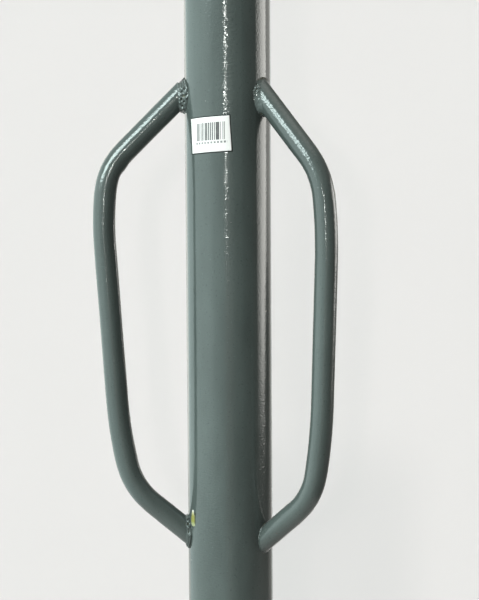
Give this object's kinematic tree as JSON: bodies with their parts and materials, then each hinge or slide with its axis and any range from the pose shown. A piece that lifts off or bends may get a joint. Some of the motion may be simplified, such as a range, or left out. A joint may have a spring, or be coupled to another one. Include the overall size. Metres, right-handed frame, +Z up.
{
  "type": "post driver",
  "caption": "Heavy steel tube, open at the foot and weighted at the closed top, with bent side handles welded on; it is lifted and dropped over a fence post.",
  "frame": {"origin": "centre of the barrel's open mouth, on the barrel's axis", "axes": "+Z up the barrel towards the closed top; -Y is the front, the side the handles lean towards; +X is towards the right handle"},
  "size_m": [0.2197, 0.0851, 0.702],
  "materials": {
    "barrel_paint": "gloss slate paint with orange peel",
    "handle_paint": "gloss slate paint",
    "weld_paint": "gloss slate paint over a rippled weld bead",
    "bare_steel": "dull hot-rolled steel",
    "label": "matt white paper with plain black bars"
  },
  "bodies": {
    "root": {"barrel": "barrel_paint", "top_plate": "barrel_paint", "top_plate_weld": "weld_paint", "driving_weight": "bare_steel", "plug_welds": "weld_paint", "left_handle": "handle_paint", "right_handle": "handle_paint", "left_upper_weld": "weld_paint", "left_lower_weld": "weld_paint", "right_upper_weld": "weld_paint", "right_lower_weld": "weld_paint", "barcode_label": "label"}
  },
  "joints": []
}
